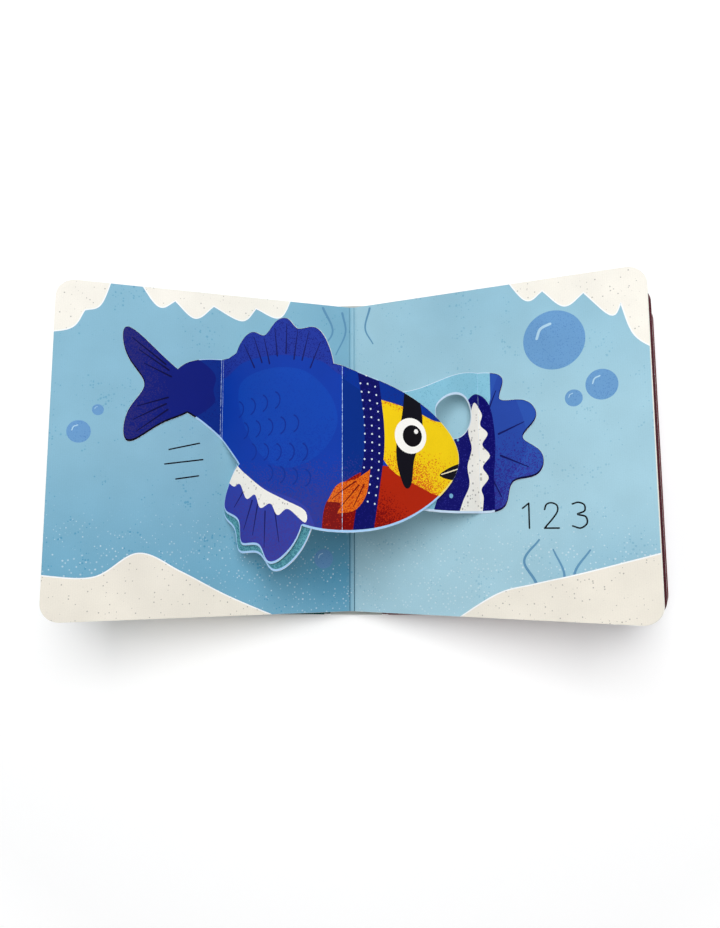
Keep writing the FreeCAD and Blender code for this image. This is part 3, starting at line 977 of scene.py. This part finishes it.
def turned(way, degrees):
    """Direction turned anticlockwise in XZ."""
    c, s = math.cos(math.radians(degrees)), math.sin(math.radians(degrees))
    return np.array([way[0] * c - way[1] * s, way[0] * s + way[1] * c])


left_way, right_way = leaf_way(open_spread - 1), leaf_way(open_spread)
left_fold = page_place(open_spread - 1, glue_fold)
right_fold = page_place(open_spread, glue_fold)
half_gap = np.linalg.norm(right_fold - left_fold) / 2
ridge = (left_fold + right_fold) / 2 + (0, math.sqrt(figure_panel**2 - half_gap**2))
body_way = unit(ridge - left_fold)


def chained(following):
    """Points put in order, from a map of each point to the next. Open chains start at a loose end."""
    chains = []
    while following:
        loose = set(following) - set(following.values())
        here = min(loose or following)
        chain = [here]
        while here in following:
            here = following.pop(here)
            chain.append(here)
        chains.append(np.array(chain))
    return chains


def flat_chains(node, line):
    """Outline of a folded CAD card panel by panel, laid flat, read off its printed side."""
    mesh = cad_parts[node].data
    places = np.array([vertex.co for vertex in mesh.vertices]) / MM
    folds = [round(float(u), outline_digits) for u, _ in line[1:-1]]
    chains = []
    for (u0, a), (_, b) in zip(line, line[1:]):
        way = unit(b - a)
        along = u0 + (places[:, [0, 2]] - a) @ way
        height = (places[:, [0, 2]] - a) @ np.array([-way[1], way[0]])
        for u in folds:
            along = np.where(abs(along - u) < fold_reach, u, along)
        laid = zip(along, places[:, 1])
        flat = [(round(float(u), outline_digits), round(float(v), outline_digits)) for u, v in laid]
        level = abs(height - card_thickness / 2) < level_reach
        sides = set()
        for polygon in mesh.polygons:
            corners = list(polygon.vertices)
            if level[corners].all():
                sides.update((flat[i], flat[j]) for i, j in zip(corners, corners[1:] + corners[:1]))
        # The outline is made of the edges that only one facet uses, apart from those along a fold.
        rim = [(p, q) for p, q in sides if p != q and (q, p) not in sides]
        chains += chained({p: q for p, q in rim if not (p[0] == q[0] and p[0] in folds)})
    return chains


def flat_outlines(node, line):
    """Flat outlines of a folded CAD card, joined across its folds. line is the card's middle line."""
    chains = flat_chains(node, line)
    loops = [chain[:-1] for chain in chains if (chain[0] == chain[-1]).all()]
    open_chains = [chain for chain in chains if (chain[0] != chain[-1]).any()]
    while open_chains:
        loop = open_chains.pop()
        while True:
            starts = [chain[0] for chain in [loop, *open_chains]]
            nearest = int(np.argmin([np.linalg.norm(loop[-1] - start) for start in starts]))
            join = (loop[-1] + starts[nearest]) / 2
            if nearest == 0:
                loops.append(np.vstack([loop[1:-1], join]))
                break
            loop = np.vstack([loop[:-1], join, open_chains.pop(nearest - 1)[1:]])
    return [divided(loop, card_edge_step) for loop in loops]


def lit_margin(facing):
    """Width of the margin along the cut: a bare margin left by the die, with a pale painted highlight where
    its colour is pale; narrow along upper edges, wide along lower ones.
    """
    return 0.3 + 1.0 * np.clip(-facing[:, 1] - 0.1, 0, 1)


def standing_card(name, node, path, start, inks, worn):
    """A folded card of the open spread, in the place of its CAD node. Its path reaches both ends of the
    blank, and start is the distance of the path's first point from the fold that the inks are drawn from."""
    path = [np.array(p, float) for p in path]
    outlines = flat_outlines(node, fold_line(path, start=start))
    card = cut_card(
        name, outlines, fold_line(path, fold_radius, start), card_thickness, inks, figure_finishes,
        spacing=2.4, top=card_thickness / 2, rings=(0.45, 1.2, 2.0), margin=lit_margin, worn=worn,
    )
    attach(card, "book_block")
    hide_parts(node)


def teal_share(u, v):
    return 0.25 + 0.3 * np.clip(-v / 60, 0, 1)


under_fold = page_place(open_spread - 1, glue_fold - under_inset)
under_path = [under_fold - left_way * under_tab, under_fold, under_fold + body_way * under_panel]
under_inks = [printed((92, 164, 176), None, teal_share, (60, 124, 144), edge=lit_margin_blue)]
under_worn = [(0.0, 0.6)]
standing_card("under_panel", "under_card", under_path, -under_tab, under_inks, under_worn)

# ---- Reef card ----
# Card under the head: a tab glued inside the fish's body, a strut with a window cut in it, and fronds glued
# down on the right page. The strut is printed sky blue, and the rock at the fold navy with a cream fringe of
# dotted coral.
reef_tab, frond_length = 24.0, 60.0
cream = (246, 244, 236)
# Pale edge of the strut's fields, a painted highlight along its cut.
lit_strut_edge_colour = (206, 228, 250)
frond_edge_colour = (14, 14, 60)


def rays(targets, width, colour, root, span=(0.0, 1.0)):
    """Pen lines from a root towards each of several targets, each drawn over a span of its way."""
    root = np.array(root, float)
    drawn = []
    for target in targets:
        reach = np.array(target, float) - root
        line = np.linspace(root + reach * span[0], root + reach * span[1], 7)
        drawn.append(printed(colour, stroke(line, width, taper=0.4)))
    return drawn


def reef_inks(panel):
    """Inks of the reef card, drawn from its fold on the right page, a panel's length from the crest."""

    def at_fold(points):
        return [(panel + u, v) for u, v in points]

    def violet_share(u, v):
        return np.clip((10 - v) / 50, 0, 0.85)

    fronds = at_fold([(7, 60), (7, -60), (frond_length, -60), (frond_length, 60)])
    mottle = at_fold([(12, 40), (22, 22), (26, 0), (16, -18), (8, -36), (2, 0)])
    rock = [(-17, 2), (-11, 20), (-2, 30), (6, 24), (9, 6), (8, -14), (4, -44), (-30, -44), (-24, -18)]
    coral = [(-3, 25), (2, 19), (1, 13), (5, 8), (2, 2), (6, -4), (2, -10), (5, -16), (1, -22), (2, -28)]
    coral += [(-2, -44), (-16, -44), (-12, -30), (-7, -20), (-8, -10), (-5, 0), (-7, 10)]
    violet, blue = (52, 50, 150), (46, 44, 142)
    inks = [
        printed((140, 200, 222), None, 0.1, (116, 180, 206), specks=0.2, edge=lit_strut_edge_colour),
        printed((44, 84, 178), fronds, violet_share, violet, edge=frond_edge_colour),
        printed((40, 74, 170), curve(mottle), violet_share, blue, edge=frond_edge_colour),
    ]
    frond_tips = at_fold([(12, 36), (29, 15), (31, -13), (14, -31)])
    inks += rays(frond_tips, 1.1, (16, 18, 92), (panel - 2, 2), (0.42, 0.86))
    inks.append(printed((6, 4, 104), curve(at_fold(rock)), 0.12, (40, 40, 140), edge=lit_strut_edge_colour))
    inks.append(printed(cream, curve(at_fold(coral)), specks=-1.4, edge=lit_strut_edge_colour))
    for u, v, radius in ((-16, -8, 1.5), (-20, 0, 1.0), (-14, 4, 0.8), (-19, -26, 1.3)):
        inks.append(printed((120, 176, 214), disc(panel + u, v, radius)))
    return inks


crest = ridge - (0, (card_thickness + glue_line) * math.hypot(1, body_way[1] / body_way[0]))
reef_panel = float(np.linalg.norm(crest - right_fold))
reef_path = [crest - body_way * reef_tab, crest, right_fold, right_fold + right_way * frond_length]
reef_worn = [(reef_panel, 0.35)]
standing_card("reef_fronds", "reef_card", reef_path, -reef_tab, reef_inks(reef_panel), reef_worn)

# ---- Fish card ----
# The front card: its tail is glued to the left page, its body rises to the ridge over the gutter, and its
# head leans out past it. It is printed in flat inks with stippled shading, and its folds have cracked them.
tail_length, head_length, head_lean = 58.0, 72.0, 3.0
royal, navy, purple = (0, 56, 170), (6, 24, 120), (46, 54, 148)


def scale_rows(rows, width, colour):
    """Rows of small open arcs, like scales. rows holds (first u, v, number, size, lean)."""
    drawn = []
    for u, v, number, size, lean in rows:
        for i in range(number):
            angles = np.radians(np.linspace(70, -70, 9))
            across, up = u + i * size * 1.9 + size * np.cos(angles), v + i * lean + size * np.sin(angles)
            arc = np.stack([across, up], axis=1)
            drawn.append(printed(colour, stroke(arc, width)))
    return drawn


def body_inks():
    """Royal blue body, darker down the tail's root, with a lighter flank. Past the ridge it is printed
    darker, as painted shade.
    """

    def belly(u, v):
        return np.clip((-v - 2) / 34 - 0.1, 0, 0.9)

    def under_flank(u, v):
        return 0.1 + 0.5 * np.clip((10 - v) / 26, 0, 1)

    # Past the ridge the panel faces away from the light, and its darker blue is painted shade.
    painted_shade_past_ridge = [(figure_panel, 60), (figure_panel, -70), (98, -70), (98, 60)]
    root = [(-80, 90), (-80, -60), (0, -60), (0, 90)]
    flank = [(14, 36), (34, 42), (58, 38), (75, 24), (80, 8), (69, -6), (48, -12), (30, -4), (16, 16)]
    return [
        printed(royal, None, belly, purple, edge=lit_margin_blue),
        printed((0, 44, 134), painted_shade_past_ridge, belly, (44, 50, 136), edge=lit_margin_blue),
        printed((0, 42, 136), root, 0.1, navy, edge=lit_margin_blue),
        printed((0, 66, 178), curve(flank), under_flank, royal, edge=lit_margin_blue),
    ]


def fin_inks():
    """Back fin, tail and belly fin with their rays, the scales, and the cream fringe over the belly fin."""
    back_fin = [(0, 42), (2, 72), (84, 72), (86, 33), (70, 41), (54, 46), (36, 49), (16, 48)]
    inks = [printed((26, 52, 160), curve(back_fin, (1, 2)), 0.25, (14, 32, 130), edge=(14, 14, 70))]
    fin_tips = [(14, 62), (22, 65), (30, 63), (38, 68), (47, 69), (55, 63), (63, 61), (71, 54)]
    inks += rays(fin_tips, 1.0, (8, 16, 96), (46, 6), (0.68, 0.93))

    def tail_tip(u, v):
        return np.clip((-u - 26) / 40, 0, 0.85)

    tail = curve([(-80, 80), (-80, -20), (-12, 20), (-5, 34), (-12, 50)], (0, 1))
    inks.append(printed(navy, tail, tail_tip, (40, 38, 112), edge=(4, 4, 20)))
    tail_tips = [(-52, 63), (-48, 56), (-45, 48), (-48, 22), (-50, 14), (-48, 7)]
    inks += rays(tail_tips, 1.0, (4, 6, 60), (-14, 34), (0.45, 0.92))
    scales = [(12, 22, 4, 4.6, 0.8), (16, 10, 5, 4.6, 0.2), (22, -2, 5, 4.6, -0.6), (34, -14, 4, 4.4, -1.2)]
    inks += scale_rows(scales, 0.9, (0, 46, 150))

    def fin_foot(u, v):
        return np.clip((-v - 18) / 60, 0, 0.7)

    belly_fin = curve([(-4, -2), (14, -12), (34, -22), (62, -34), (66, -64), (20, -70), (-4, -40)], (0,))
    inks.append(printed((46, 62, 168), belly_fin, fin_foot, (60, 56, 150), edge=lit_margin_blue))
    belly_tips = [(9, -34), (17, -47), (24, -50), (33, -57), (44, -54)]
    inks += rays(belly_tips, 1.0, (20, 22, 100), (34, -2), (0.58, 0.92))
    fringe = [(4, -14), (10, -20), (15, -19), (20, -27), (26, -25), (30, -32), (37, -30), (42, -36)]
    fringe += [(49, -33), (60, -40), (60, -34), (46, -28), (32, -22), (18, -13), (8, -6)]
    inks.append(printed(cream, curve(fringe), specks=-1.4, edge=(238, 240, 244)))
    return inks


def head_inks():
    """Red jaw, yellow face, blue crown and a dotted navy collar."""

    def jaw_shade(u, v):
        return np.clip((112 - u) / 34 + (-v - 26) / 30, 0, 0.95)

    def face_shade(u, v):
        brow = np.clip((v - 19 + (u - 100) / 4) / 9, 0, 0.6)
        return brow + np.clip((-v - 2) / 26, 0, 0.95) * np.clip((146 - u) / 20, 0.3, 1)

    jaw = [(70, -60), (72, -34), (80, -24), (92, -16), (106, -12), (124, -16), (160, -20), (160, -60)]
    face = [(100, 22), (106, 28), (126, 24), (170, 30), (170, -30), (140, -27), (126, -22), (110, -14)]
    face += [(101, 0)]
    crown = [(84, 60), (84, 30), (98, 23), (112, 20), (124, 17), (134, 13), (141, 12), (150, 40)]
    collar = [(86, 60), (93, 24), (95, 0), (92, -22), (86, -60)]
    collar += [(97, -60), (103, -24), (106, 0), (104, 24), (98, 60)]
    inks = [
        printed((176, 34, 2), curve(jaw, (0, 6, 7)), jaw_shade, (124, 2, 2), edge=lit_margin_blue),
        printed((247, 208, 12), curve(face, (3, 4)), face_shade, (222, 112, 20), edge=(250, 226, 120)),
        printed((0, 48, 148), curve(crown, (0, 1, 6, 7)), 0.1, (20, 40, 130), edge=(20, 30, 110)),
        printed((4, 8, 96), curve(collar, (0, 4, 5, 9)), 0.1, (30, 30, 130), edge=lit_margin_blue),
    ]
    for row, (u, reach) in enumerate(((90.5, 30), (94.5, 32), (98.5, 31))):
        for v in np.arange(-reach, reach, 4.2) + 2.1 * (row % 2):
            bow = 4.6 * (1 - (v / 40) ** 2)
            inks.append(printed((214, 226, 240), disc(u + bow, v, 0.5)))
    return inks


def face_inks():
    """Black bar across the eye, the eye itself, a beak-like mouth with its glint, and the pectoral fin."""
    bar = [(118, 30), (116, 14), (113, 2), (113, -10), (117, -22)]
    bar += [(121, -21), (123, -8), (127, 2), (128, 14), (125, 30)]
    mouth = [(138, -16), (143, -12), (153, -8), (156, -14), (148, -18)]
    lip = curve([(139, -15.2), (145, -13.4), (151, -11.4)], closed=False, step=0.6)
    pectoral = [(98, -14), (90, -19), (80, -22), (74, -30), (82, -31), (80, -36), (90, -34), (96, -26)]
    inks = [
        printed((12, 10, 22), curve(bar, (0, 9)), edge=(20, 20, 40)),
        printed((255, 253, 246), disc(121, 4, 9.2)),
        printed((10, 8, 14), disc(122, 4, 5.6)),
        printed((250, 248, 244), disc(124.2, 6.4, 1.3)),
        printed((14, 12, 22), curve(mouth, (2, 3)), edge=(20, 20, 30)),
        printed((240, 226, 190), stroke(lip, 0.6)),
        printed((230, 110, 20), curve(pectoral, (0, 3, 5)), 0.35, (190, 60, 10)),
    ]
    return inks + rays([(75, -30), (80, -35), (88, -34)], 0.8, (120, 20, 6), (98, -15), (0.35, 0.92))


head_way = turned(unit(right_fold - ridge), head_lean)
fish_path = [left_fold + left_way * tail_length, left_fold, ridge, ridge + head_way * head_length]
fish_inks = body_inks() + fin_inks() + head_inks() + face_inks()
fish_worn = [(-0.8, 0.4), (0.6, 0.44), (figure_panel, 0.42)]
standing_card("fish_figure", "fish_card", fish_path, -tail_length, fish_inks, fish_worn)

# ---- Surface, light and camera ----
# The book lies on a plain white surface in an even white room. One large soft light hangs above, towards the
# head of the book, and a faint one fills in from the left. Further off the surface glows, so it meets the
# room with no edge.
surface_half, surface_drop = 3.0, 0.0001
wall_glow, ceiling_glow, ceiling_start, ceiling_full = 1.0, 0.17, 0.3, 0.6
room_colour = (0.98, 0.99, 1.0, 1.0)
surface_glow, glow_start, glow_end = 0.03, 300.0, 1200.0
book_middle = (0.0, 0.0, 0.03)
camera_place = (24.88, -44.23, 403.94)
camera_tilt = (-6.794, -3.182, 0.514)
sensor_width = 36.0
focal_share = 0.733405
centre_shift = -0.015086


def flat_surface(name):
    """White surface that glows further off."""
    mesh = bpy.data.meshes.new(name)
    half, height = surface_half, -surface_drop
    corners = [(-half, -half, height), (half, -half, height), (half, half, height), (-half, half, height)]
    mesh.from_pydata(corners, [], [(0, 1, 2, 3)])
    material, tree, shader = new_finish(name, 0.9)
    shader.inputs["Base Color"].default_value = (1.0, 1.0, 1.0, 1.0)
    shader.inputs["Emission Color"].default_value = (1.0, 1.0, 1.0, 1.0)
    away = add(tree, "VectorMath", {0: in_millimetres(tree)}, output="Value", operation="LENGTH")
    glow = ramp(tree, away, glow_start, glow_end, surface_glow, 1.0)
    tree.links.new(glow, shader.inputs["Emission Strength"])
    mesh.materials.append(material)
    surface = bpy.data.objects.new(name, mesh)
    bpy.context.scene.collection.objects.link(surface)


def soft_light(name, place, size, power):
    """Square light that looks at the book and leaves no glare of its own."""
    light = bpy.data.lights.new(name, "AREA")
    light.size = size
    light.energy = power
    lamp = bpy.data.objects.new(name, light)
    lamp.location = place
    lamp.visible_glossy = False
    lamp.rotation_euler = (Vector(book_middle) - Vector(place)).to_track_quat("-Z", "Y").to_euler()
    bpy.context.scene.collection.objects.link(lamp)


flat_surface("table_top")
soft_light("window_light", (0.06, 0.38, 1.2), size=0.9, power=14.2)
soft_light("side_fill", (-1.5, 0.1, 0.9), size=1.2, power=2.0)

world = bpy.data.worlds.new("white_room")
world.use_nodes = True
room, walls = world.node_tree, world.node_tree.nodes["Background"]
height = add(room, "SeparateXYZ", {0: add(room, "TexCoord")}, output="Z")
glow = ramp(room, height, ceiling_start, ceiling_full, wall_glow, ceiling_glow)
room.links.new(glow, walls.inputs["Strength"])
walls.inputs["Color"].default_value = room_colour
scene = bpy.context.scene
scene.world = world
scene.view_settings.view_transform = "Standard"

camera_data = bpy.data.cameras.new("camera")
camera_data.sensor_width = sensor_width
camera_data.lens = sensor_width * focal_share
camera_data.shift_y = centre_shift
camera = bpy.data.objects.new("camera", camera_data)
turns = [Matrix.Rotation(math.radians(angle), 3, axis) for angle, axis in zip(camera_tilt, "XYZ")]
facing = (turns[2] @ turns[1] @ turns[0]).transposed()
camera.matrix_world = Matrix.Translation(Vector(camera_place) * MM) @ facing.to_4x4()
scene.collection.objects.link(camera)
scene.camera = camera
